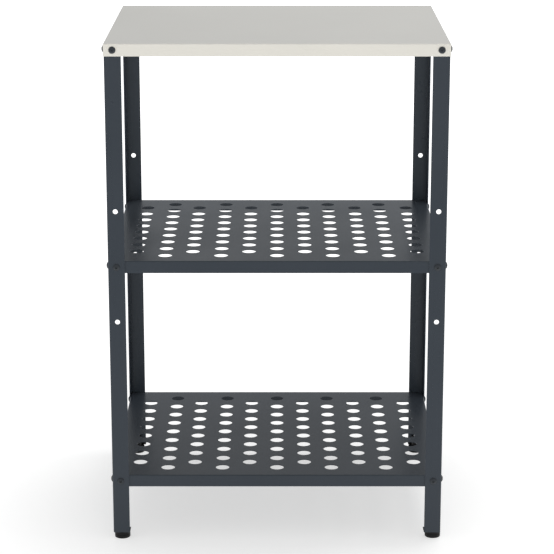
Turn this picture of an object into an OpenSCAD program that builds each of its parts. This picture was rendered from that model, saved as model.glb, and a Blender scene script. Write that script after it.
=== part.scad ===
// Potting bench of folded sheet steel: a pale worktop tray and two drained
// shelf trays bolted inside four angle legs that stand on screw-out feet.
// Millimetres, +Z up. The front looks towards -Y. The origin lies on the
// floor, under the centre of the bench.

/* [Overall size] */
// Width of the worktop, side to side
width = 600; // [500:10:900]
// Depth of the worktop, front to back
depth = 490; // [400:10:700]
// Height of the worktop above the floor
height = 912; // [700:1:1100]

/* [Worktop and shelves] */
// Height of the turned-down rim of every tray
rim_height = 22; // [18:1:40]
// Sheet thickness of the worktop
top_sheet = 0.8; // [0.6:0.1:2]
// Sheet thickness of the shelves
shelf_sheet = 1.2; // [0.8:0.1:1.5]
// Height of the middle shelf's bolts above the floor
middle_level = 514; // [300:1:700]
// Height of the bottom shelf's bolts above the floor
bottom_level = 112; // [80:1:200]
// Inside radius of the folded edges
fold_radius = 0.8; // [0.4:0.1:3]
// Clearance of the cut-out shelf corners from the bend in the legs
corner_clearance = 1.7; // [0.5:0.1:4]
// Width of the open seam in each worktop corner
seam = 0.3; // [0.2:0.1:1]

/* [Drain holes] */
// Diameter of the drain holes in the shelves
drain_d = 25; // [10:1:32]
// Least distance from a drain hole's centre to the edge of its shelf
drain_edge = 40; // [30:1:80]
// Side pitch of the holes in the main rows
main_pitch_x = 100; // [60:1:140]
// Pitch of the main rows, front to back
main_pitch_y = 50; // [40:1:80]
// Side pitch of the holes in the rows between
offset_pitch_x = 101; // [60:1:140]
// Pitch of the rows between, front to back
offset_pitch_y = 49; // [40:1:80]

/* [Legs] */
// Width of each flange of the angle leg
flange = 30; // [25:1:50]
// Sheet thickness of the legs
leg_sheet = 2; // [1.5:0.1:2.5]
// Outside radius of the leg's bend
leg_bend = 3.5; // [2.5:0.5:6]
// Diameter of the bolt holes in the legs
leg_hole_d = 9; // [6.6:0.1:10]
// Distance of every bolt hole from the corner of the leg
hole_inset = 15; // [14.5:0.5:22]
// Height from the middle shelf's bolts to the spare holes above and below
spare_pitch = 101; // [60:1:150]

/* [Fasteners] */
// Diameter of the bolt shanks
shank_d = 6; // [5:0.5:8]
// Diameter of the button heads
head_d = 12.4; // [9:0.1:16]
// Height of the button heads
head_h = 3.7; // [2:0.1:5]
// Height of the straight rim round each head
head_rim = 1.2; // [0.3:0.1:1.6]
// Length of the bolts under the head
bolt_length = 10; // [8:0.5:11]
// Key size of the hexagon socket
socket_af = 4; // [3:0.5:5]
// Depth of the socket in each head
socket_depth = 2; // [1:0.1:2.4]
// Width of the nuts across their flats
nut_af = 10; // [8:0.5:11]
// Diameter of the flange on the nuts
nut_flange_d = 14; // [11:0.5:16]
// Thickness of that flange
nut_flange_h = 1.2; // [0.8:0.1:2]
// Height of the nuts
nut_h = 6; // [4:0.5:6]
// Play of a bolt shank in its nut, across
nut_play = 0.08; // [0.04:0.01:0.2]
// Play of a bolt shank in the holes of the trays, across
shank_play = 0.6; // [0.3:0.1:2]

/* [Feet] */
// Clear height between the floor and the end of the legs
foot_height = 12; // [10:0.5:20]
// Diameter of the feet
foot_d = 28.4; // [22:0.1:36]
// Height of the screw-out glide under each foot
glide_height = 6.7; // [5:0.1:10]
// Height of the plug held along the flanges of the leg
plug_height = 7.5; // [6:0.5:20]
// Thickness of the plug along the inside of each flange
plug_wall = 7; // [4:0.5:12]
// Diameter of the threaded stud in each foot
stud_d = 8; // [6:1:10]
// Height of the threaded boss above the end of the leg
boss_height = 20; // [16:1:30]
// Wall of that boss round the stud
boss_wall = 4; // [2:0.5:6]
// Distance from the leg's outer faces to the foot's centre, along one flange
foot_x = 15.6; // [14:0.1:24]
// The same distance along the other flange
foot_y = 13.5; // [13:0.1:24]
// How far the plug flares past one flange at its upper edge
plug_lip = 1.6; // [0.4:0.1:4]
// How far it flares past the other flange
plug_flare = 2; // [0.4:0.1:4]
// How far the plug stands past the edge of a flange at its lower end
plug_proud = 0.2; // [0.1:0.1:0.4]
// Gap between the plug and the bend in the leg
plug_gap = 0.5; // [0.3:0.1:2]
// Gap between the plug's collar and the glide when it is screwed right in
foot_gap = 0.3; // [0.3:0.1:1]
// Running clearance of the stud in its boss, on each side
stud_fit = 0.06; // [0.02:0.01:0.1]

/* [Hidden] */
top_level = height - rim_height / 2;
leg_top = height - top_sheet - fold_radius;
frame_w = width - 2 * top_sheet;
frame_d = depth - 2 * top_sheet;
shelf_w = frame_w - 2 * leg_sheet;
shelf_d = frame_d - 2 * leg_sheet;
apron_hole_d = shank_d + shank_play;
corner_relief = leg_bend - leg_sheet + corner_clearance;
offset_columns = floor((shelf_w - 2 * drain_edge) / offset_pitch_x) + 1;
main_rows = floor((shelf_d - 2 * drain_edge) / main_pitch_y) + 1;
collar_d = stud_d + 6;
collar_h = 2;
collar_z = 1.6;
STEEL_DARK = [0.26, 0.28, 0.31];
STEEL_PALE = [0.86, 0.85, 0.82];
BLACK = [0.09, 0.09, 0.10];
ZINC = [0.72, 0.73, 0.75];
$fn = 48;

// Corners are numbered round the bench: 0 front left, 1 front right,
// 2 back right, 3 back left. Inside corner(i), +X and +Y point inwards from
// the outer corner of the leg.
module corner(i) {
  x = (i == 0 || i == 3) ? -frame_w / 2 : frame_w / 2;
  y = (i == 0 || i == 1) ? -frame_d / 2 : frame_d / 2;
  translate([x, y, 0]) rotate([0, 0, 90 * i]) children();
}

// Mirrors a piece at a corner onto the other flange of the same leg.
module both_flanges() {
  children();
  mirror([1, -1, 0]) children();
}

// ---- trays -------------------------------------------------------------

// Side view of a tray's outside, with a bend along both upper edges.
module tray_outline(w, h, r) {
  union() {
    translate([-w / 2, 0]) square([w, h - r]);
    translate([-w / 2 + r, 0]) square([w - 2 * r, h]);
    translate([-w / 2 + r, h - r]) circle(r);
    translate([w / 2 - r, h - r]) circle(r);
  }
}

// Solid block that a tray wraps round, its bends mitred at the corners.
module tray_block(w, d, h, r) {
  intersection() {
    rotate([90, 0, 0]) linear_extrude(d, center = true) tray_outline(w, h, r);
    rotate([90, 0, 90]) linear_extrude(w, center = true) tray_outline(d, h, r);
  }
}

// Tray with its lower edge at z = 0.
module tray(w, d, sheet) {
  bend = sheet + fold_radius;
  difference() {
    tray_block(w, d, rim_height, bend);
    translate([0, 0, -1])
      tray_block(w - 2 * sheet, d - 2 * sheet, rim_height + 1 - sheet, bend - sheet);
  }
}

// Round cutters on the axis of both bolts at every corner of one level.
module bolt_cutters(level, d, depth_in) {
  for (i = [0:3]) {
    corner(i) both_flanges() {
      translate([hole_inset, -2, level]) rotate([-90, 0, 0]) cylinder(d = d, h = depth_in + 2);
    }
  }
}

module worktop() {
  color(STEEL_PALE) difference() {
    translate([0, 0, height - rim_height]) tray(width, depth, top_sheet);
    bolt_cutters(top_level, apron_hole_d, 1);
    for (i = [0:3]) {
      corner(i) rotate([0, 0, 45]) translate([-4, -seam / 2, height - rim_height - 1])
        cube([6, seam, rim_height - top_sheet - 1]);
    }
  }
}

// Evenly spread round cutters for one set of drain holes.
module drain_grid(columns, rows, pitch_x, pitch_y) {
  for (column = [0:columns - 1]) {
    for (row = [0:rows - 1]) {
      x = (column - (columns - 1) / 2) * pitch_x;
      y = (row - (rows - 1) / 2) * pitch_y;
      translate([x, y, rim_height - 5]) cylinder(d = drain_d, h = 10);
    }
  }
}

module shelf(level) {
  color(STEEL_DARK) difference() {
    translate([0, 0, level - rim_height / 2]) difference() {
      tray(shelf_w, shelf_d, shelf_sheet);
      drain_grid(offset_columns - 1, main_rows, main_pitch_x, main_pitch_y);
      drain_grid(offset_columns, main_rows - 1, offset_pitch_x, offset_pitch_y);
    }
    bolt_cutters(level, apron_hole_d, 8);
    for (i = [0:3]) {
      corner(i) translate([-1, -1, level - rim_height])
        cube([leg_sheet + corner_relief + 1, leg_sheet + corner_relief + 1, 2 * rim_height]);
    }
  }
}

module shelf_middle() {
  shelf(middle_level);
}

module shelf_bottom() {
  shelf(bottom_level);
}

// ---- legs --------------------------------------------------------------

// Cross section of the angle, its bend at the outer corner.
module angle_section() {
  union() {
    translate([leg_bend, 0]) square([flange - leg_bend, leg_sheet]);
    translate([0, leg_bend]) square([leg_sheet, flange - leg_bend]);
    intersection() {
      square(leg_bend);
      translate([leg_bend, leg_bend]) difference() {
        circle(leg_bend);
        circle(leg_bend - leg_sheet);
      }
    }
  }
}

module leg(i) {
  levels = [top_level, middle_level + spare_pitch, middle_level,
            middle_level - spare_pitch, bottom_level];
  color(STEEL_DARK) corner(i) difference() {
    translate([0, 0, foot_height]) linear_extrude(leg_top - foot_height) angle_section();
    for (level = levels) {
      both_flanges() {
        translate([hole_inset, -1, level]) rotate([-90, 0, 0])
          cylinder(d = leg_hole_d, h = leg_sheet + 2);
      }
    }
  }
}

module leg_front_left() {
  leg(0);
}

module leg_front_right() {
  leg(1);
}

module leg_back_right() {
  leg(2);
}

module leg_back_left() {
  leg(3);
}

// ---- fasteners ---------------------------------------------------------

// Button-head bolt: the underside of its head at z = 0, its shank downwards.
module bolt() {
  tip = 0.8;
  cap = head_h - head_rim;
  dome = (head_d * head_d / 4 + cap * cap) / (2 * cap);
  difference() {
    union() {
      intersection() {
        cylinder(d = head_d, h = head_h);
        translate([0, 0, head_h - dome]) sphere(dome);
      }
      translate([0, 0, -bolt_length + tip]) cylinder(d = shank_d, h = bolt_length);
      translate([0, 0, -bolt_length]) cylinder(d1 = shank_d - 2 * tip, d2 = shank_d, h = tip);
    }
    translate([0, 0, head_h - socket_depth])
      cylinder(d = socket_af / cos(30), h = socket_depth + 1, $fn = 6);
  }
}

// Flanged nut standing on z = 0, with a plain bore for the bolt.
module nut() {
  difference() {
    union() {
      cylinder(d = nut_flange_d, h = nut_flange_h);
      rotate([0, 0, 30]) cylinder(d = nut_af / cos(30), h = nut_h, $fn = 6);
    }
    translate([0, 0, -1]) cylinder(d = shank_d + nut_play, h = nut_h + 2);
  }
}

// Two bolts at every corner of one level; seat is how far the face under the
// heads lies outside the legs.
module bolt_set(level, seat) {
  color(BLACK) for (i = [0:3]) {
    corner(i) both_flanges() {
      translate([hole_inset, -seat, level]) rotate([90, 0, 0]) bolt();
    }
  }
}

// Two nuts at every corner of one level, on the face that lies stack inside
// the outer face of the legs.
module nut_set(level, stack) {
  color(ZINC) for (i = [0:3]) {
    corner(i) both_flanges() {
      translate([hole_inset, stack, level]) rotate([-90, 0, 0]) nut();
    }
  }
}

module bolts_worktop() {
  bolt_set(top_level, top_sheet);
}

module bolts_shelf_middle() {
  bolt_set(middle_level, 0);
}

module bolts_shelf_bottom() {
  bolt_set(bottom_level, 0);
}

module nuts_worktop() {
  nut_set(top_level, leg_sheet);
}

module nuts_shelf_middle() {
  nut_set(middle_level, leg_sheet + shelf_sheet);
}

module nuts_shelf_bottom() {
  nut_set(bottom_level, leg_sheet + shelf_sheet);
}

// ---- feet --------------------------------------------------------------

// One arm of the plug, along the inside of a flange, its free end flared.
module plug_arm(lip) {
  side = [[leg_sheet, 0], [flange + plug_proud, 0],
          [flange + lip, plug_height], [leg_sheet, plug_height]];
  translate([0, leg_sheet + plug_wall, 0]) rotate([90, 0, 0])
    linear_extrude(plug_wall) polygon(side);
}

// Both arms of the plug, clear of the bend between the flanges.
module plug_block() {
  relief = leg_bend - leg_sheet + plug_gap;
  difference() {
    union() {
      plug_arm(plug_lip);
      mirror([1, -1, 0]) plug_arm(plug_flare);
    }
    translate([leg_sheet - 1, leg_sheet - 1, -1]) cube([relief + 1, relief + 1, plug_height + 2]);
  }
}

module foot_plug(i) {
  color(BLACK) corner(i) difference() {
    union() {
      translate([0, 0, foot_height]) plug_block();
      translate([foot_x, foot_y, glide_height + foot_gap])
        cylinder(d = foot_d, h = foot_height - glide_height - foot_gap);
      translate([foot_x, foot_y, foot_height]) cylinder(d = stud_d + 2 * boss_wall, h = boss_height);
    }
    translate([foot_x, foot_y, 0])
      cylinder(d = stud_d + 2 * stud_fit, h = foot_height + boss_height + 1);
  }
}

module foot_plug_front_left() {
  foot_plug(0);
}

module foot_plug_front_right() {
  foot_plug(1);
}

module foot_plug_back_right() {
  foot_plug(2);
}

module foot_plug_back_left() {
  foot_plug(3);
}

// Round glide, its lower edge chamfered, moulded round the collar of the stud.
module glide(i) {
  chamfer = 0.8;
  color(BLACK) corner(i) translate([foot_x, foot_y, 0]) difference() {
    union() {
      cylinder(d1 = foot_d - 2 * chamfer, d2 = foot_d, h = chamfer);
      translate([0, 0, chamfer]) cylinder(d = foot_d, h = glide_height - chamfer);
    }
    translate([0, 0, collar_z]) cylinder(d = collar_d, h = collar_h);
    translate([0, 0, collar_z]) cylinder(d = stud_d, h = glide_height);
  }
}

module glide_front_left() {
  glide(0);
}

module glide_front_right() {
  glide(1);
}

module glide_back_right() {
  glide(2);
}

module glide_back_left() {
  glide(3);
}

// Threaded stud with its collar held inside the glide.
module glide_stud(i) {
  top = foot_height + boss_height + 4;
  tip = 1;
  color(ZINC) corner(i) translate([foot_x, foot_y, 0]) {
    union() {
      translate([0, 0, collar_z]) cylinder(d = collar_d, h = collar_h);
      translate([0, 0, collar_z]) cylinder(d = stud_d, h = top - tip - collar_z);
      translate([0, 0, top - tip]) cylinder(d1 = stud_d, d2 = stud_d - 2 * tip, h = tip);
    }
  }
}

module glide_stud_front_left() {
  glide_stud(0);
}

module glide_stud_front_right() {
  glide_stud(1);
}

module glide_stud_back_right() {
  glide_stud(2);
}

module glide_stud_back_left() {
  glide_stud(3);
}

// ---- what is drawn -----------------------------------------------------

worktop();
shelf_middle();
shelf_bottom();
leg_front_left();
leg_front_right();
leg_back_right();
leg_back_left();
foot_plug_front_left();
foot_plug_front_right();
foot_plug_back_right();
foot_plug_back_left();
glide_front_left();
glide_front_right();
glide_back_right();
glide_back_left();
glide_stud_front_left();
glide_stud_front_right();
glide_stud_back_right();
glide_stud_back_left();
bolts_worktop();
bolts_shelf_middle();
bolts_shelf_bottom();
nuts_worktop();
nuts_shelf_middle();
nuts_shelf_bottom();
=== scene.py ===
# %% [markdown]
# # Potting bench
#
# A bench for standing work in a garden: a pale steel worktop and two pierced
# dark shelves, bolted between four angle legs. Nearly everything is folded
# sheet metal, so this lesson is about thin sheet: how to punch holes in it, how
# to fold it, and how to give it a painted skin that catches light like the real
# one. The feet, bolts and nuts are small turned and moulded pieces.
#
# The measured frame of the bench comes first. Every piece below takes its place
# and its size from that frame, so nothing has to be fitted by eye.

# %% Load the frame
import math
import random

import bmesh
import bpy
from mathutils import Matrix, Vector


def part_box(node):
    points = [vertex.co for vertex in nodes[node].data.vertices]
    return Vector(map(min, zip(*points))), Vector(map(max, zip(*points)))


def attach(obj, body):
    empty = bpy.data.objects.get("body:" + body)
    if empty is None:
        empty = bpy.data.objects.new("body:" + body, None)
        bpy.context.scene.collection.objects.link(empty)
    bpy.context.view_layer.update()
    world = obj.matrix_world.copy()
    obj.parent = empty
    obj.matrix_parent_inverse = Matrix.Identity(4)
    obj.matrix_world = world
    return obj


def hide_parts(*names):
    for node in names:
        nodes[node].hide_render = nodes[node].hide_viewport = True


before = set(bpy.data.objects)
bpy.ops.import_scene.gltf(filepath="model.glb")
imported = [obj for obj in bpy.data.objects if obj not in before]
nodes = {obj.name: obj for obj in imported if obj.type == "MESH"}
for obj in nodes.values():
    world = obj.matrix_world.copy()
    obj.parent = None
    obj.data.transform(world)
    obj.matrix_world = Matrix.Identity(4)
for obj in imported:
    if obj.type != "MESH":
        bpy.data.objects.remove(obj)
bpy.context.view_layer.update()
random.seed(7)
MM = 0.001

# %% [markdown]
# ## Sizes
#
# A piece should never repeat a size that the frame already knows. The boxes of
# the nodes give the outlines, the levels and the thickness of most parts. Only
# the sizes that a box can't tell, such as a fold's radius, are written here.

# %% Sizes from the frame
worktop_low, worktop_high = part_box("worktop")
shelf_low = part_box("shelf_middle")[0]
leg_low, leg_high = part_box("leg_front_left")
glide_low, glide_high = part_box("glide_front_left")
stud_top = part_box("glide_stud_front_left")[1].z

FLANGE = leg_high.x - leg_low.x
LEG_SHEET = shelf_low.x - leg_low.x
SHELF_SHEET = 1.2 * MM
TOP_SHEET = leg_low.x - worktop_low.x
FOLD = 0.8 * MM
RIM = worktop_high.z - worktop_low.z
LEVELS = {
    "worktop": worktop_high.z - RIM / 2,
    "shelf_middle": (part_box("shelf_middle")[0].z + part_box("shelf_middle")[1].z) / 2,
    "shelf_bottom": (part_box("shelf_bottom")[0].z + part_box("shelf_bottom")[1].z) / 2,
}
print("levels of the bolts:", {name: round(z, 3) for name, z in LEVELS.items()})
print("leg sheet", round(LEG_SHEET / MM, 2), "mm, top sheet", round(TOP_SHEET / MM, 2), "mm")

# %% [markdown]
# ## Corners
#
# The bench is the same at all four corners, only turned. One matrix for each
# corner carries a piece from a drawing of the front left leg, where x and y
# point inwards, to its real place. This is how a workshop thinks, too: one
# drawing, four legs.

# %% Corner matrices
CORNERS = ("front_left", "front_right", "back_right", "back_left")
QUARTER = math.pi / 2


def corner_matrix(index):
    side_x = -1 if index in (0, 3) else 1
    side_y = -1 if index in (0, 1) else 1
    place = Vector((side_x * abs(leg_low.x), side_y * abs(leg_low.y), 0))
    return Matrix.Translation(place) @ Matrix.Rotation(index * QUARTER, 4, "Z")


corner_of = {name: corner_matrix(i) for i, name in enumerate(CORNERS)}
print("corner of the front left leg:", tuple(round(v, 4) for v in corner_of["front_left"].translation))

# %% [markdown]
# ## Camera
#
# The bench is seen from the front, from standing height, with a long lens, so
# the uprights stay nearly parallel. The camera looks down on it by about
# fifteen degrees, far enough to see into the holes of both shelves.

# %% Camera
LOOK_DOWN = 15.05
camera_data = bpy.data.cameras.new("camera")
camera_data.sensor_width = 36
camera_data.lens = 136.4
camera = bpy.data.objects.new("camera", camera_data)
camera.location = (0.0, -3.835, 1.462)
camera.rotation_euler = (math.radians(90 - LOOK_DOWN), 0, 0)
bpy.context.scene.collection.objects.link(camera)
bpy.context.scene.camera = camera
print("camera", round(camera.location.z, 2), "m up, lens", camera_data.lens, "mm")

# %% [markdown]
# ## Floor and light
#
# Materials and the room are both built from nodes, so a few short helpers come
# first: one adds a node, one does arithmetic, one maps a range of numbers on
# another, and one mixes two shaders.

# %% Node helpers
def add(tree, kind, **values):
    node = tree.nodes.new(kind)
    for key, value in values.items():
        setattr(node, key, value)
    return node


def math_node(tree, operation, a, b, clamp=False):
    node = add(tree, "ShaderNodeMath", operation=operation, use_clamp=clamp)
    for socket, value in zip(node.inputs, (a, b)):
        if isinstance(value, (int, float)):
            socket.default_value = value
        else:
            tree.links.new(value, socket)
    return node.outputs[0]


def ramp(tree, source, start, end, low, high, smooth=False):
    node = add(tree, "ShaderNodeMapRange")
    if smooth:
        node.interpolation_type = "SMOOTHSTEP"
    tree.links.new(source, node.inputs["Value"])
    for name, value in (("From Min", start), ("From Max", end), ("To Min", low), ("To Max", high)):
        node.inputs[name].default_value = value
    return node.outputs["Result"]


def mix_shaders(tree, factor, first, second):
    node = add(tree, "ShaderNodeMixShader")
    for socket, value in zip(node.inputs, (factor, first, second)):
        tree.links.new(value, socket)
    return node.outputs["Shader"]


print("node helpers:", [helper.__name__ for helper in (add, math_node, ramp, mix_shaders)])

# %% [markdown]
# A studio for a product like this is a white sweep under broad, soft lamps. The
# floor is a plain sheet, wide enough to reach the horizon.

# %% Floor
FLOOR_REACH = 60
floor_mesh = bpy.data.meshes.new("floor")
floor_corners = [(x * FLOOR_REACH, y * FLOOR_REACH, 0) for x, y in ((-1, -1), (1, -1), (1, 1), (-1, 1))]
floor_mesh.from_pydata(floor_corners, [], [(0, 1, 2, 3)])
floor = bpy.data.objects.new("floor", floor_mesh)
bpy.context.scene.collection.objects.link(floor)
print("floor", floor.dimensions.x, "by", floor.dimensions.y, "m")

# %% [markdown]
# The floor glows a little by itself, which stands for the light that a white room
# throws back under the bench, so the shadow there stays soft and pale. Further
# out it glows more, until floor and background are one white. The dark paint
# would mirror that glow and look grey, so mirrored rays see a dimmer floor there.

# %% Floor glow
floor_material = bpy.data.materials.new("white_sweep")
floor_material.use_nodes = True
floor_mesh.materials.append(floor_material)
floor_tree = floor_material.node_tree
floor_skin = floor_tree.nodes["Principled BSDF"]
floor_skin.inputs["Base Color"].default_value = (0.60, 0.60, 0.60, 1)
floor_skin.inputs["Roughness"].default_value = 0.9
floor_skin.inputs["Specular IOR Level"].default_value = 0.0
floor_skin.inputs["Emission Color"].default_value = (1, 1, 1, 1)
floor_place = add(floor_tree, "ShaderNodeTexCoord")
floor_length = add(floor_tree, "ShaderNodeVectorMath", operation="LENGTH")
floor_tree.links.new(floor_place.outputs["Object"], floor_length.inputs[0])
floor_away = floor_length.outputs["Value"]
GLOW_NEAR, GLOW_OUT = 0.54, 0.71
near_glow = ramp(floor_tree, floor_away, 0.25, 0.80, GLOW_NEAR, GLOW_OUT, smooth=True)
far_glow = ramp(floor_tree, floor_away, 0.8, 4.0, 0.0, 0.4)
floor_glow = math_node(floor_tree, "ADD", near_glow, far_glow)
floor_tree.links.new(floor_glow, floor_skin.inputs["Emission Strength"])
floor_path = add(floor_tree, "ShaderNodeLightPath")
floor_dim = add(floor_tree, "ShaderNodeEmission")
floor_dim.inputs["Color"].default_value = (0.93, 0.965, 1.0, 1)
floor_dim.inputs["Strength"].default_value = 0.80
floor_far = ramp(floor_tree, floor_away, 0.5, 1.6, 0.0, 1.0)
floor_dimmed = math_node(floor_tree, "MULTIPLY", floor_path.outputs["Is Glossy Ray"], floor_far)
floor_seen = mix_shaders(floor_tree, floor_dimmed, floor_skin.outputs["BSDF"],
                         floor_dim.outputs["Emission"])
print("floor glow from", GLOW_NEAR, "to", GLOW_OUT, "round the bench")

# %% [markdown]
# From below the floor is clear, so that the underside of the bench can be looked
# at. The Backfacing output of a Geometry node tells the two sides apart.

# %% Floor from below
floor_side = add(floor_tree, "ShaderNodeNewGeometry")
floor_clear = add(floor_tree, "ShaderNodeBsdfTransparent")
floor_both = mix_shaders(floor_tree, floor_side.outputs["Backfacing"], floor_seen,
                         floor_clear.outputs["BSDF"])
floor_tree.links.new(floor_both, floor_tree.nodes["Material Output"].inputs["Surface"])
print("floor nodes:", len(floor_tree.nodes))

# %% [markdown]
# The room lights everything a little, and two wide lamps do the rest: one in
# front for the upright faces, one overhead for the worktop and the floor. A
# Light Path node keeps the room bright to the eye and dimmer in the paint, and
# the front lamp isn't mirrored at all, as if it stood behind a large diffuser.

# %% Room light
world = bpy.data.worlds.new("studio")
world.use_nodes = True
bpy.context.scene.world = world
room = world.node_tree
room_seen = room.nodes["Background"]
room_felt = add(room, "ShaderNodeBackground")
room_gloss = add(room, "ShaderNodeBackground")
for part, tint, strength in (
    (room_seen, (1.0, 1.0, 1.0, 1), 1.0),
    (room_felt, (0.97, 0.985, 1.0, 1), 0.55),
    (room_gloss, (0.93, 0.965, 1.0, 1), 0.53),
):
    part.inputs["Color"].default_value = tint
    part.inputs["Strength"].default_value = strength
room_path = add(room, "ShaderNodeLightPath")
room_lit = mix_shaders(room, room_path.outputs["Is Glossy Ray"], room_felt.outputs["Background"],
                       room_gloss.outputs["Background"])
room_whole = mix_shaders(room, room_path.outputs["Is Camera Ray"], room_lit,
                         room_seen.outputs["Background"])
room.links.new(room_whole, room.nodes["World Output"].inputs["Surface"])
bpy.context.scene.view_settings.view_transform = "Standard"
print("room light", round(room_felt.inputs["Strength"].default_value, 2))


# %% Lamps
def soft_lamp(name, place, aim, width, height, watts, tint):
    data = bpy.data.lights.new(name, "AREA")
    data.shape = "RECTANGLE"
    data.size = width
    data.size_y = height
    data.energy = watts
    data.color = tint
    lamp = bpy.data.objects.new(name, data)
    lamp.location = place
    lamp.rotation_euler = (Vector(aim) - Vector(place)).to_track_quat("-Z", "Y").to_euler()
    bpy.context.scene.collection.objects.link(lamp)
    return lamp


front_lamp = soft_lamp("front_lamp", (0.0, -4.8, 0.8), (0, 0, 0.45), 3.4, 1.5, 72, (1.0, 0.955, 0.82))
front_lamp.visible_glossy = False
soft_lamp("top_lamp", (0.8, 0.95, 3.6), (0.1, 0, 0.9), 2.2, 2.2, 46, (1.0, 0.995, 0.98))

# %% [markdown]
# ## Shared effects
#
# Paint, plastic and zinc all have a skin that isn't perfectly even. Each such
# effect is a node group with named sockets, so that every material can use it at
# its own scale. A group only puts out numbers, colours and normals. The shader
# itself stays in the material.

# %% Group helper
def new_group(name, inputs, outputs):
    group = bpy.data.node_groups.new(name, "ShaderNodeTree")
    for socket_name, kind, default in inputs:
        socket = group.interface.new_socket(socket_name, in_out="INPUT", socket_type=kind)
        socket.default_value = default
    for socket_name, kind in outputs:
        group.interface.new_socket(socket_name, in_out="OUTPUT", socket_type=kind)
    return group


FLOAT, VECTOR = "NodeSocketFloat", "NodeSocketVector"
print("sockets of the groups:", FLOAT, VECTOR)

# %% [markdown]
# Powder coat is a plastic powder melted on the steel. It flows into a skin with
# a fine orange peel: bumps about two millimetres apart and a few thousandths of
# a millimetre high, with a much finer grain on top. Noise at two scales through
# one Bump node gives both.

# %% Orange peel group
peel = new_group(
    "orange_peel",
    [("Scale", FLOAT, 420.0), ("Grain", FLOAT, 0.3), ("Height", FLOAT, 0.1)],
    [("Normal", VECTOR)],
)
peel_in = add(peel, "NodeGroupInput")
peel_out = add(peel, "NodeGroupOutput")
peel_place = add(peel, "ShaderNodeTexCoord")
peel_wide = add(peel, "ShaderNodeTexNoise")
peel_fine = add(peel, "ShaderNodeTexNoise")
peel_bump = add(peel, "ShaderNodeBump")
peel_wide.inputs["Detail"].default_value = 2.0
peel_fine.inputs["Detail"].default_value = 3.0
peel_bump.inputs["Distance"].default_value = 0.001
for noise in (peel_wide, peel_fine):
    peel.links.new(peel_place.outputs["Object"], noise.inputs["Vector"])
peel.links.new(peel_in.outputs["Scale"], peel_wide.inputs["Scale"])
peel.links.new(math_node(peel, "MULTIPLY", peel_in.outputs["Scale"], 5.0), peel_fine.inputs["Scale"])
peel_grain = math_node(peel, "MULTIPLY", peel_fine.outputs["Fac"], peel_in.outputs["Grain"])
peel_sum = math_node(peel, "ADD", peel_wide.outputs["Fac"], peel_grain)
peel.links.new(peel_sum, peel_bump.inputs["Height"])
peel.links.new(peel_in.outputs["Height"], peel_bump.inputs["Strength"])
peel.links.new(peel_bump.outputs["Normal"], peel_out.inputs["Normal"])
print("group", peel.name, "with", len(peel.nodes), "nodes")

# %% [markdown]
# A painted highlight runs along the edges: every edge, inner and outer, is
# mixed towards a lighter tone, broken up by noise. The Bevel node looks at the
# shape around a point, so the difference between its normal and the true one
# marks edges and nothing else.

# %% Edge highlight group
edge = new_group(
    "edge_highlight_mask",
    [("Radius", FLOAT, 0.0008), ("Breakup", FLOAT, 0.4), ("Gain", FLOAT, 2.0)],
    [("Mask", FLOAT)],
)
edge_in = add(edge, "NodeGroupInput")
edge_out = add(edge, "NodeGroupOutput")
edge_round = add(edge, "ShaderNodeBevel", samples=6)
edge_true = add(edge, "ShaderNodeNewGeometry")
edge_gap = add(edge, "ShaderNodeVectorMath", operation="DISTANCE")
edge_place = add(edge, "ShaderNodeTexCoord")
edge_noise = add(edge, "ShaderNodeTexNoise")
edge_noise.inputs["Scale"].default_value = 160.0
edge_noise.inputs["Detail"].default_value = 4.0
edge.links.new(edge_place.outputs["Object"], edge_noise.inputs["Vector"])
edge.links.new(edge_in.outputs["Radius"], edge_round.inputs["Radius"])
edge.links.new(edge_round.outputs["Normal"], edge_gap.inputs[0])
edge.links.new(edge_true.outputs["Normal"], edge_gap.inputs[1])
edge_strong = math_node(edge, "MULTIPLY", edge_gap.outputs["Value"], edge_in.outputs["Gain"])
edge_broken = math_node(edge, "MULTIPLY", edge_noise.outputs["Fac"], edge_in.outputs["Breakup"])
edge_left = math_node(edge, "SUBTRACT", edge_strong, edge_broken, clamp=True)
edge.links.new(edge_left, edge_out.inputs["Mask"])
print("group", edge.name, "with", len(edge.nodes), "nodes")

# %% [markdown]
# Even a new bench carries a trace of dust where it faces up. The mask below is
# strongest on level faces, and two sizes of noise break it up. It tints the
# colour a little and makes the gloss duller, which is how dust is really seen.

# %% Dust group
dust = new_group(
    "dust_film",
    [("Amount", FLOAT, 0.2), ("Scale", FLOAT, 9.0)],
    [("Mask", FLOAT)],
)
dust_in = add(dust, "NodeGroupInput")
dust_out = add(dust, "NodeGroupOutput")
dust_place = add(dust, "ShaderNodeTexCoord")
dust_face = add(dust, "ShaderNodeNewGeometry")
dust_axes = add(dust, "ShaderNodeSeparateXYZ")
dust_cloud = add(dust, "ShaderNodeTexNoise")
dust_speck = add(dust, "ShaderNodeTexNoise")
dust_cloud.inputs["Detail"].default_value = 5.0
dust_speck.inputs["Detail"].default_value = 2.0
for noise in (dust_cloud, dust_speck):
    dust.links.new(dust_place.outputs["Object"], noise.inputs["Vector"])
dust.links.new(dust_in.outputs["Scale"], dust_cloud.inputs["Scale"])
dust.links.new(math_node(dust, "MULTIPLY", dust_in.outputs["Scale"], 60.0), dust_speck.inputs["Scale"])
dust.links.new(dust_face.outputs["Normal"], dust_axes.inputs["Vector"])
dust_level = math_node(dust, "MULTIPLY", dust_axes.outputs["Z"], dust_in.outputs["Amount"], clamp=True)
dust_mix = math_node(dust, "MULTIPLY", dust_cloud.outputs["Fac"], dust_speck.outputs["Fac"])
dust_strong = math_node(dust, "MULTIPLY", dust_mix, 4.0)
dust_mask = math_node(dust, "MULTIPLY", dust_level, dust_strong, clamp=True)
dust.links.new(dust_mask, dust_out.inputs["Mask"])
print("group", dust.name, "with", len(dust.nodes), "nodes")
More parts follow.
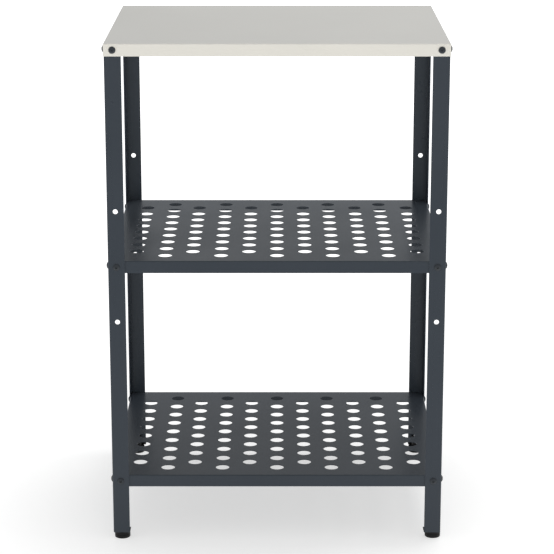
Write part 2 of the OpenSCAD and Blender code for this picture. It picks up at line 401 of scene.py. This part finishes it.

# %% [markdown]
# ## Finishes
#
# Every finish starts the same way: two near tones mixed by slow noise, because
# no coat is equally thick everywhere. The edge mask lightens that colour along
# edges as a painted highlight, and the dust mask tints it; the orange peel bends
# the normal, and the slow noise moves the roughness too.
# Only the numbers differ between a pale coat, a dark coat and black plastic.

# %% Finish helper
def mix_colour(tree, factor, first, second):
    node = add(tree, "ShaderNodeMix", data_type="RGBA")
    for socket, value in zip((node.inputs[0], node.inputs[6], node.inputs[7]), (factor, first, second)):
        if isinstance(value, (tuple, float)):
            socket.default_value = value
        else:
            tree.links.new(value, socket)
    return node.outputs[2]


def placed_group(tree, group, values):
    node = add(tree, "ShaderNodeGroup", node_tree=group)
    for name, value in values.items():
        node.inputs[name].default_value = value
    return node


def spread(tree, noise, low, high):
    return ramp(tree, noise.outputs["Fac"], 0.3, 0.7, low, high)


def make_finish(name, tones, edge_highlight_tone, dust_tone, roughness, shine, peel_values, edge_values, dust_values):
    material = bpy.data.materials.new(name)
    material.use_nodes = True
    tree = material.node_tree
    skin = tree.nodes["Principled BSDF"]
    place = add(tree, "ShaderNodeTexCoord")
    cloud = add(tree, "ShaderNodeTexNoise")
    cloud.inputs["Scale"].default_value = 6.0
    cloud.inputs["Detail"].default_value = 6.0
    tree.links.new(place.outputs["Object"], cloud.inputs["Vector"])
    bumps = placed_group(tree, peel, peel_values)
    rims = placed_group(tree, edge, edge_values)
    film = placed_group(tree, dust, dust_values)
    colour = mix_colour(tree, spread(tree, cloud, 0.0, 1.0), *tones)
    # painted highlight: edges are mixed towards the lighter edge tone
    colour = mix_colour(tree, rims.outputs["Mask"], colour, edge_highlight_tone)
    colour = mix_colour(tree, film.outputs["Mask"], colour, dust_tone)
    gloss = spread(tree, cloud, *roughness)
    dulled = math_node(tree, "MULTIPLY", film.outputs["Mask"], 0.35)
    gloss = math_node(tree, "ADD", gloss, dulled, clamp=True)
    tree.links.new(colour, skin.inputs["Base Color"])
    tree.links.new(gloss, skin.inputs["Roughness"])
    tree.links.new(bumps.outputs["Normal"], skin.inputs["Normal"])
    skin.inputs["Specular IOR Level"].default_value = shine
    return material


# %% [markdown]
# The worktop has a warm, pale grey coat with a soft sheen. The shelves and legs
# have a dark blue-grey coat that is glossier: at a flat angle the shelves mirror
# the legs behind them. The bolts are a blue-black. Each finish below has a
# lighter edge tone, which paints a highlight along its edges.

# %% Coats
pale_coat = make_finish(
    "pale_coat",
    tones=((0.585, 0.573, 0.540, 1), (0.600, 0.588, 0.556, 1)),
    # lighter edge tone: a painted highlight along the edges
    edge_highlight_tone=(0.64, 0.63, 0.60, 1),
    dust_tone=(0.55, 0.53, 0.49, 1),
    roughness=(0.42, 0.50),
    shine=0.5,
    peel_values={"Scale": 420.0, "Grain": 0.25, "Height": 0.10},
    edge_values={"Radius": 0.0006, "Breakup": 0.5, "Gain": 0.8},
    dust_values={"Amount": 0.10, "Scale": 7.0},
)
dark_coat = make_finish(
    "dark_coat",
    tones=((0.0245, 0.032, 0.043, 1), (0.028, 0.036, 0.048, 1)),
    # lighter edge tone: a painted highlight along the edges
    edge_highlight_tone=(0.075, 0.085, 0.10, 1),
    dust_tone=(0.16, 0.155, 0.14, 1),
    roughness=(0.27, 0.33),
    shine=0.3,
    peel_values={"Scale": 460.0, "Grain": 0.3, "Height": 0.12},
    edge_values={"Radius": 0.0006, "Breakup": 0.5, "Gain": 0.9},
    dust_values={"Amount": 0.06, "Scale": 8.0},
)
black_bolt = make_finish(
    "black_bolt",
    tones=((0.018, 0.022, 0.028, 1), (0.023, 0.028, 0.035, 1)),
    # lighter edge tone: a painted highlight along the edges
    edge_highlight_tone=(0.085, 0.09, 0.10, 1),
    dust_tone=(0.12, 0.12, 0.115, 1),
    roughness=(0.30, 0.42),
    shine=0.4,
    peel_values={"Scale": 1500.0, "Grain": 0.5, "Height": 0.12},
    edge_values={"Radius": 0.0004, "Breakup": 0.6, "Gain": 1.2},
    dust_values={"Amount": 0.03, "Scale": 30.0},
)
print("coats:", pale_coat.name, dark_coat.name, black_bolt.name)

# %% [markdown]
# Moulded plastic takes the fine spark-eroded grain of its mould, so its bumps are
# finer and closer than those of paint, and it shines less.

# %% Plastic
black_plastic = make_finish(
    "black_plastic",
    tones=((0.0035, 0.0035, 0.004, 1), (0.006, 0.006, 0.0065, 1)),
    # lighter edge tone: a painted highlight along the edges
    edge_highlight_tone=(0.025, 0.025, 0.026, 1),
    dust_tone=(0.17, 0.16, 0.14, 1),
    roughness=(0.38, 0.50),
    shine=0.22,
    peel_values={"Scale": 1900.0, "Grain": 0.8, "Height": 0.22},
    edge_values={"Radius": 0.0006, "Breakup": 0.6, "Gain": 0.7},
    dust_values={"Amount": 0.02, "Scale": 25.0},
)
print("plastic:", black_plastic.name)

# %% [markdown]
# Nuts and studs are bright zinc. Zinc grows in small crystals, which show as
# flat patches of slightly different grey. Voronoi cells give such patches. The
# same cells move the roughness, so the patches also glint one after another.

# %% Zinc
zinc = make_finish(
    "zinc",
    tones=((0.52, 0.53, 0.54, 1), (0.60, 0.61, 0.62, 1)),
    # lighter edge tone: a painted highlight along the edges
    edge_highlight_tone=(0.72, 0.72, 0.72, 1),
    dust_tone=(0.30, 0.29, 0.27, 1),
    roughness=(0.28, 0.40),
    shine=0.5,
    peel_values={"Scale": 1300.0, "Grain": 0.4, "Height": 0.10},
    edge_values={"Radius": 0.0004, "Breakup": 0.5, "Gain": 1.0},
    dust_values={"Amount": 0.12, "Scale": 40.0},
)
zinc_tree = zinc.node_tree
zinc_skin = zinc_tree.nodes["Principled BSDF"]
zinc_skin.inputs["Metallic"].default_value = 1.0
zinc_place = add(zinc_tree, "ShaderNodeTexCoord")
zinc_cells = add(zinc_tree, "ShaderNodeTexVoronoi")
zinc_cells.inputs["Scale"].default_value = 700.0
zinc_tree.links.new(zinc_place.outputs["Object"], zinc_cells.inputs["Vector"])
zinc_shade = add(zinc_tree, "ShaderNodeSeparateColor")
zinc_tree.links.new(zinc_cells.outputs["Color"], zinc_shade.inputs["Color"])
zinc_colour = zinc_skin.inputs["Base Color"].links[0].from_socket
zinc_patch = math_node(zinc_tree, "MULTIPLY", zinc_shade.outputs["Red"], 0.35)
zinc_patched = mix_colour(zinc_tree, zinc_patch, zinc_colour, (0.42, 0.43, 0.45, 1))
zinc_tree.links.new(zinc_patched, zinc_skin.inputs["Base Color"])
zinc_rough = ramp(zinc_tree, zinc_shade.outputs["Green"], 0.0, 1.0, 0.24, 0.42)
zinc_tree.links.new(zinc_rough, zinc_skin.inputs["Roughness"])
print("zinc nodes:", len(zinc_tree.nodes))

# %% [markdown]
# ## Taking a piece into the bench
#
# A finished mesh becomes a piece in one step: it gets its object and its finish,
# rides on the body that carries it, and stands for its node of the frame.
# Edges that are meant to be crisp are marked sharp, and all else is shaded smooth.

# %% Piece helper
CRISP = math.radians(40)


def add_piece(mesh, name, finish, body, replaced, sharp=None):
    bmesh.ops.recalc_face_normals(mesh, faces=mesh.faces)
    for face in mesh.faces:
        face.smooth = True
    if sharp is not None:
        for mesh_edge in mesh.edges:
            if len(mesh_edge.link_faces) == 2 and mesh_edge.calc_face_angle() > math.radians(sharp):
                mesh_edge.smooth = False
    data = bpy.data.meshes.new(name)
    mesh.to_mesh(data)
    mesh.free()
    piece = bpy.data.objects.new(name, data)
    bpy.context.scene.collection.objects.link(piece)
    data.materials.append(finish)
    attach(piece, body)
    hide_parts(replaced)
    return piece


def soften_edges(piece, width):
    rounding = piece.modifiers.new("coated_edges", "BEVEL")
    rounding.width = width
    rounding.segments = 2
    rounding.limit_method = "ANGLE"
    rounding.angle_limit = CRISP
    normals = piece.modifiers.new("flat_faces", "WEIGHTED_NORMAL")
    normals.keep_sharp = False
    normals.weight = 100
    return piece


# %% [markdown]
# ## Folded sheet
#
# A tray is one sheet: a flat plate, four folds and four aprons. It could be made
# from a box with boolean cuts, but 93 round holes in a boolean leave a poor mesh.
# Instead the outer skin is drawn panel by panel, as a blank is drawn for the
# punch, and welded. Then each point of the skin gets a twin one sheet deeper.
# Between them they are the solid sheet, with true folds and true mitres.

# %% Sheet helpers
def circle(x, y, radius, steps):
    turn = 2 * math.pi / steps
    return [(x + radius * math.cos(i * turn), y + radius * math.sin(i * turn)) for i in range(steps)]


def punched_panel(mesh, outline, holes, place):
    edges = []
    for loop in [outline] + holes:
        points = [mesh.verts.new(place(u, v)) for u, v in loop]
        edges += [mesh.edges.new((points[i - 1], points[i])) for i in range(len(points))]
    bmesh.ops.triangle_fill(mesh, use_beauty=True, use_dissolve=False, edges=edges)


def folded_strip(mesh, rows):
    grid = [[mesh.verts.new(point) for point in row] for row in rows]
    for near, far in zip(grid, grid[1:]):
        mesh.faces.new((near[0], near[1], far[1], far[0]))


def thicken(mesh, core, radius, sheet):
    bmesh.ops.remove_doubles(mesh, verts=mesh.verts, dist=1e-6)
    bmesh.ops.recalc_face_normals(mesh, faces=mesh.faces)
    skin = list(mesh.faces)
    rims = [e for e in mesh.edges if len(e.link_faces) == 1]
    twin = {}
    for point in list(mesh.verts):
        centre = core(point.co)
        twin[point] = mesh.verts.new(centre + (point.co - centre) * (radius - sheet) / radius)
    for face in skin:
        mesh.faces.new([twin[point] for point in reversed(face.verts)])
    for rim in rims:
        loop = rim.link_loops[0]
        first = loop.vert
        second = loop.link_loop_next.vert
        mesh.faces.new((second, first, twin[first], twin[second]))


print("sheet helpers:", [helper.__name__ for helper in (circle, punched_panel, folded_strip, thicken)])

# %% [markdown]
# A point on the skin finds its twin through the core of its fold. The core is
# the flat box that the folds wrap round, and every point of the skin lies one
# fold radius away from it. Scaling that distance down by the sheet's thickness
# gives the inside of plates, folds, aprons and mitred corners, all by one rule.

# %% Tray
BOLT_INSET = 15 * MM
BOLT_HOLE = 6.6 * MM
FOLD_STEPS = 5
OUT = (Vector((0, -1, 0)), Vector((1, 0, 0)), Vector((0, 1, 0)), Vector((-1, 0, 0)))


def side_point(side, along, out, z):
    across = OUT[(side + 1) % 4]
    point = across * along + OUT[side] * out
    return Vector((point.x, point.y, z))


def tray_mesh(low, high, sheet, notch, seam, level, holes):
    mesh = bmesh.new()
    radius = sheet + FOLD
    run = (high.x, high.y)
    core_x, core_y, core_z = high.x - radius, high.y - radius, high.z - radius
    cut = max(notch, radius)
    outline = []
    for side in range(4):
        along = run[side % 2] - cut
        out = run[(side + 1) % 2] - radius
        if notch > radius:
            outline.append(side_point(side, -along, run[(side + 1) % 2] - cut, 0).xy)
            outline.append(side_point(side, -along, out, 0).xy)
        outline.append(side_point(side, along, out, 0).xy)
    punched_panel(mesh, outline, holes, lambda u, v: (u, v, high.z))
    for side in range(4):
        reach = run[(side + 1) % 2]
        rows = []
        for i in range(FOLD_STEPS + 1):
            turn = QUARTER * i / FOLD_STEPS
            swell = radius * math.sin(turn)
            end = run[side % 2] - cut
            if notch <= radius:
                end += swell - seam * math.sin(turn)
            z = core_z + radius * math.cos(turn)
            rows.append([side_point(side, s * end, reach - radius + swell, z) for s in (-1, 1)])
        folded_strip(mesh, rows)
        end = rows[-1][1].dot(OUT[(side + 1) % 4])
        apron = [(-end, low.z), (end, low.z), (end, core_z), (-end, core_z)]
        bolt_at = abs((leg_low.x, leg_low.y)[side % 2]) - BOLT_INSET
        bolt_holes = [circle(s * bolt_at, level, BOLT_HOLE / 2, steps=24) for s in (-1, 1)]
        punched_panel(mesh, apron, bolt_holes, lambda u, v: side_point(side, u, reach, v))

    def core(point):
        x = max(-core_x, min(core_x, point.x))
        y = max(-core_y, min(core_y, point.y))
        return Vector((x, y, min(core_z, point.z)))

    thicken(mesh, core, radius, sheet)
    return mesh


# %% [markdown]
# ## Worktop
#
# The worktop has no holes in its plate. Its four aprons are folded over the
# outside of the legs, and they meet at each corner in a hairline seam. Where a
# seam begins, two edges leave one point almost together, and rounding them would
# throw a spike over the plate. So only the edges of the aprons are rounded, and
# a bevel weight on each of those edges says which they are.

# %% Worktop piece
SEAM = 0.2 * MM


def mark_apron_edges(data, height):
    grid = bmesh.new()
    grid.from_mesh(data)
    weight = grid.edges.layers.float.new("bevel_weight_edge")
    count = 0
    for mesh_edge in grid.edges:
        low_enough = max(point.co.z for point in mesh_edge.verts) < height
        if low_enough and mesh_edge.calc_face_angle() > CRISP:
            mesh_edge[weight] = 1.0
            count += 1
    grid.to_mesh(data)
    grid.free()
    return count


worktop_mesh = tray_mesh(worktop_low, worktop_high, TOP_SHEET, 0, SEAM, LEVELS["worktop"], [])
worktop = add_piece(worktop_mesh, "worktop_tray", pale_coat, "frame", "worktop")
rounding = soften_edges(worktop, width=0.12 * MM).modifiers["coated_edges"]
rounding.limit_method = "WEIGHT"
fold_end = worktop_high.z - TOP_SHEET - FOLD + 0.01 * MM
marked = mark_apron_edges(worktop.data, fold_end)
print("worktop:", len(worktop.data.polygons), "faces,", marked, "edges to round")

# %% [markdown]
# ## Shelves
#
# The holes stand in two patterns, one between the rows of the other. Nine rows
# of five have a pitch of 100 by 50 mm, and eight rows of six have a pitch of 101
# by 49 mm. The two pitches differ a little, as on the real shelf, so the
# diagonals drift slightly from one side to the other. The shelf's corners are
# cut square to clear the bend of the legs.

# %% Shelf pieces
DRAIN = 25 * MM
CORNER_CUT = 3.2 * MM


def drain_holes(columns, rows, pitch_x, pitch_y):
    places = []
    for column in range(columns):
        for row in range(rows):
            x = (column - (columns - 1) / 2) * pitch_x
            y = (row - (rows - 1) / 2) * pitch_y
            places.append(circle(x, y, DRAIN / 2, steps=56))
    return places


for shelf in ("shelf_middle", "shelf_bottom"):
    low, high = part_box(shelf)
    holes = drain_holes(5, 9, 100 * MM, 50 * MM) + drain_holes(6, 8, 101 * MM, 49 * MM)
    shelf_mesh = tray_mesh(low, high, SHELF_SHEET, CORNER_CUT, 0, LEVELS[shelf], holes)
    piece = add_piece(shelf_mesh, shelf + "_tray", dark_coat, "frame", shelf)
    soften_edges(piece, width=0.15 * MM)
    print(shelf, "has", len(holes), "holes and", len(piece.data.polygons), "faces")

# %% [markdown]
# ## Legs
#
# A leg is an angle with a wide, soft bend. Each flange has five holes of 9 mm:
# three carry bolts, and two are spare, so that the middle shelf can hang higher
# or lower. The same skin-and-twin method makes the angle from two flat panels
# and one fold.

# %% Leg pieces
LEG_BEND = 3.5 * MM
BEND_STEPS = 8
LEG_HOLE = 9 * MM
SPARE = 101 * MM
leg_levels = [LEVELS["worktop"], LEVELS["shelf_middle"] + SPARE, LEVELS["shelf_middle"]]
leg_levels += [LEVELS["shelf_middle"] - SPARE, LEVELS["shelf_bottom"]]


def leg_mesh(matrix):
    mesh = bmesh.new()
    low, high = leg_low.z, leg_high.z
    outline = [(LEG_BEND, low), (FLANGE, low), (FLANGE, high), (LEG_BEND, high)]
    holes = [circle(BOLT_INSET, z, LEG_HOLE / 2, steps=40) for z in leg_levels]
    punched_panel(mesh, outline, holes, lambda u, v: (u, 0, v))
    punched_panel(mesh, outline, holes, lambda u, v: (0, u, v))
    rows = []
    for i in range(BEND_STEPS + 1):
        turn = QUARTER * i / BEND_STEPS
        x = LEG_BEND * (1 - math.sin(turn))
        y = LEG_BEND * (1 - math.cos(turn))
        rows.append([(x, y, low), (x, y, high)])
    folded_strip(mesh, rows)

    def core(point):
        return Vector((max(LEG_BEND, point.x), max(LEG_BEND, point.y), point.z))

    thicken(mesh, core, LEG_BEND, LEG_SHEET)
    mesh.transform(matrix)
    return mesh


for name in CORNERS:
    piece = add_piece(leg_mesh(corner_of[name]), "angle_leg_" + name, dark_coat,
                      "frame", "leg_" + name)
    soften_edges(piece, width=0.2 * MM)
    print(piece.name, len(piece.data.polygons), "faces")

# %% [markdown]
# ## Turned pieces
#
# Bolts, nuts, studs and glides are all round about one axis. A list of rings
# describes each of them, from one end to the other. A ring may change its radius
# as it goes round, and that one freedom gives a hexagon or a thread as well.

# %% Turned helpers
def plain(radius, z):
    return lambda turn: (radius, z)


def hexagon(flats, turn):
    return flats / 2 / math.cos((turn % (math.pi / 3)) - math.pi / 6)


def thread(radius, pitch, depth, z, blunt=1.0):
    def ring(turn):
        wave = abs(((z / pitch - turn / (2 * math.pi)) % 1.0) * 2 - 1)
        return min(radius, radius - depth + depth * 1.15 * wave) * blunt, z
    return ring


def add_turned(mesh, place, rings, steps, closed=False):
    grid = []
    for ring in rings:
        row = []
        for i in range(steps):
            turn = 2 * math.pi * i / steps
            radius, z = ring(turn)
            point = Vector((radius * math.cos(turn), radius * math.sin(turn), z))
            row.append(mesh.verts.new(place @ point))
        grid.append(row)
    pairs = list(zip(grid, grid[1:]))
    if closed:
        pairs.append((grid[-1], grid[0]))
    for near, far in pairs:
        for i in range(steps):
            mesh.faces.new((near[i - 1], near[i], far[i], far[i - 1]))
    if not closed:
        mesh.faces.new(grid[0])
        mesh.faces.new(grid[-1])


# %% [markdown]
# ## Bolts
#
# Two button-head bolts hold each corner of each level, 24 in all. The head is a
# low dome with a hexagon socket. Nobody lines up sockets on a real bench, so
# every bolt is turned by its own seeded amount.

# %% Bolt pieces
HEAD = 12.4 * MM
HEAD_HIGH = 3.7 * MM
HEAD_RIM = 1.2 * MM
SOCKET = 4 * MM
SOCKET_DEEP = 2 * MM
SOCKET_LIP = 0.12 * MM
SHANK = 6 * MM
THREAD_PITCH = 1.0 * MM
BOLT_LONG = 10 * MM
CAP = HEAD_HIGH - HEAD_RIM
DOME = ((HEAD / 2) ** 2 + CAP ** 2) / (2 * CAP)


def dome_height(radius):
    return HEAD_HIGH - DOME + math.sqrt(DOME ** 2 - radius ** 2)


def socket_rings():
    floor_z = HEAD_HIGH - SOCKET_DEEP
    return [
        plain(0.3 * MM, floor_z - 0.5 * MM),
        lambda t: (hexagon(SOCKET, t) * 0.96, floor_z),
        lambda t: (hexagon(SOCKET, t), floor_z + 0.1 * MM),
        lambda t: (hexagon(SOCKET, t), dome_height(hexagon(SOCKET, t)) - SOCKET_LIP),
        lambda t: (hexagon(SOCKET, t) + SOCKET_LIP, dome_height(hexagon(SOCKET, t) + SOCKET_LIP)),
    ]


def head_rings():
    side = HEAD / 2
    rings = [plain(r * MM, dome_height(r * MM)) for r in (3.0, 3.6, 4.2, 4.8, 5.4, 5.8, 6.05)]
    rings += [plain(side - 0.06 * MM, HEAD_RIM + 0.02 * MM), plain(side, HEAD_RIM - 0.15 * MM)]
    return rings + [plain(side, 0.2 * MM), plain(side - 0.2 * MM, 0)]


def shank_rings():
    radius = SHANK / 2
    rings = [plain(radius, 0), plain(radius, -7.0 * MM)]
    for i in range(19):
        z = -7.2 * MM - i * 0.15 * MM
        past = max(0.0, -z - BOLT_LONG + 0.8 * MM)
        rings.append(thread(radius, THREAD_PITCH, 0.5 * MM, z, 1 - past / radius))
    return rings + [plain(radius - 0.85 * MM, -BOLT_LONG)]


def bolt_places(level, seat):
    places = []
    for name in CORNERS:
        for turned in (False, True):
            if turned:
                spot = Matrix.Translation((-seat, BOLT_INSET, level)) @ Matrix.Rotation(-QUARTER, 4, "Y")
            else:
                spot = Matrix.Translation((BOLT_INSET, -seat, level)) @ Matrix.Rotation(QUARTER, 4, "X")
            twist = Matrix.Rotation(random.uniform(0, math.pi), 4, "Z")
            places.append(corner_of[name] @ spot @ twist)
    return places


for level_name, seat in (("worktop", TOP_SHEET), ("shelf_middle", 0), ("shelf_bottom", 0)):
    bolt_mesh = bmesh.new()
    for place in bolt_places(LEVELS[level_name], seat):
        add_turned(bolt_mesh, place, socket_rings() + head_rings() + shank_rings(), steps=36)
    piece = add_piece(bolt_mesh, "button_bolts_" + level_name, black_bolt, "frame",
                      "bolts_" + level_name, sharp=38)
    print(piece.name, len(piece.data.polygons), "faces")

# %% [markdown]
# ## Nuts
#
# The nuts are hidden from the front, but they show from behind and from below.
# Each has a cone-shaped flange that spreads its load, and its top corners are
# turned off at 30 degrees, which leaves the curved facets of a real nut.

# %% Nut pieces
NUT_FLATS = 10 * MM
NUT_HIGH = 6 * MM
NUT_FLANGE = 14 * MM
BORE = SHANK / 2 + 0.04 * MM


def nut_rings():
    turned_to = 4.85 * MM
    slope = math.tan(math.radians(30))
    rings = [plain(BORE, 0.3 * MM), plain(BORE + 0.3 * MM, 0), plain(NUT_FLANGE / 2 - 0.15 * MM, 0)]
    rings += [plain(NUT_FLANGE / 2, 0.15 * MM), plain(NUT_FLANGE / 2, 0.55 * MM)]
    rings += [plain(NUT_FLANGE / 2 - 0.2 * MM, 0.8 * MM), plain(6.1 * MM, 1.15 * MM)]
    rings.append(lambda t: (hexagon(NUT_FLATS, t) + 0.1 * MM, 1.4 * MM))
    rings.append(lambda t: (hexagon(NUT_FLATS, t), 1.6 * MM))
    rings.append(lambda t: (hexagon(NUT_FLATS, t), NUT_HIGH - (hexagon(NUT_FLATS, t) - turned_to) * slope))
    rings += [plain(turned_to, NUT_HIGH), plain(BORE + 0.4 * MM, NUT_HIGH)]
    return rings + [plain(BORE, NUT_HIGH - 0.4 * MM)]


def nut_places(level, stack):
    places = []
    for name in CORNERS:
        for turned in (False, True):
            if turned:
                spot = Matrix.Translation((stack, BOLT_INSET, level)) @ Matrix.Rotation(QUARTER, 4, "Y")
            else:
                spot = Matrix.Translation((BOLT_INSET, stack, level)) @ Matrix.Rotation(-QUARTER, 4, "X")
            twist = Matrix.Rotation(random.uniform(0, math.pi), 4, "Z")
            places.append(corner_of[name] @ spot @ twist)
    return places


for level_name, stack in (("worktop", LEG_SHEET), ("shelf_middle", LEG_SHEET + SHELF_SHEET),
                          ("shelf_bottom", LEG_SHEET + SHELF_SHEET)):
    nut_mesh = bmesh.new()
    for place in nut_places(LEVELS[level_name], stack):
        add_turned(nut_mesh, place, nut_rings(), steps=48, closed=True)
    piece = add_piece(nut_mesh, "flange_nuts_" + level_name, zinc, "frame",
                      "nuts_" + level_name, sharp=32)
    print(piece.name, len(piece.data.polygons), "faces")

# %% [markdown]
# ## Feet
#
# Each leg ends in a black plastic plug with a round collar, and under it a round
# glide on a threaded stud. The plug keeps the shape of the frame, with its sharp
# edges rounded by a modifier. The glide and the stud are turned. The stud's
# thread shows when the foot is screwed out to level the bench.

# %% Foot pieces
FOOT = glide_high.x - glide_low.x
STUD = 8 * MM


def glide_rings():
    top = glide_high.z
    side = FOOT / 2
    neck = STUD / 2
    rings = [plain(0.4 * MM, 0.5 * MM), plain(9.0 * MM, 0.5 * MM), plain(9.6 * MM, 0)]
    rings += [plain(side - 0.9 * MM, 0), plain(side - 0.35 * MM, 0.25 * MM), plain(side, 0.9 * MM)]
    rings += [plain(side, top - 0.7 * MM), plain(side - 0.25 * MM, top - 0.25 * MM)]
    rings += [plain(side - 0.8 * MM, top), plain(neck + 0.6 * MM, top), plain(neck, top - 0.5 * MM)]
    return rings + [plain(neck, 4.2 * MM)]


def stud_rings():
    pitch = 1.25 * MM
    first = 4.6 * MM
    step = pitch / 7
    radius = STUD / 2
    rings = [plain(3.2 * MM, 4.4 * MM)]
    for i in range(int((stud_top - first) / step)):
        z = first + i * step
        past = max(0.0, z - stud_top + 1.0 * MM)
        rings.append(thread(radius, pitch, 0.65 * MM, z, 1 - past / radius))
    return rings + [plain(radius - 1.1 * MM, stud_top)]


for name in CORNERS:
    low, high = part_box("glide_" + name)
    foot_place = Matrix.Translation(((low.x + high.x) / 2, (low.y + high.y) / 2, 0))
    glide_mesh = bmesh.new()
    add_turned(glide_mesh, foot_place, glide_rings(), steps=64)
    add_piece(glide_mesh, "round_glide_" + name, black_plastic, "foot_" + name,
              "glide_" + name, sharp=32)
    stud_mesh = bmesh.new()
    add_turned(stud_mesh, foot_place, stud_rings(), steps=32)
    add_piece(stud_mesh, "threaded_stud_" + name, zinc, "foot_" + name,
              "glide_stud_" + name, sharp=32)
    plug = nodes["foot_plug_" + name]
    plug.data.materials.clear()
    plug.data.materials.append(black_plastic)
    weld = plug.modifiers.new("weld", "WELD")
    weld.merge_threshold = 0.01 * MM
    soften_edges(plug, width=0.35 * MM)
print("feet:", round(FOOT / MM, 1), "mm across")
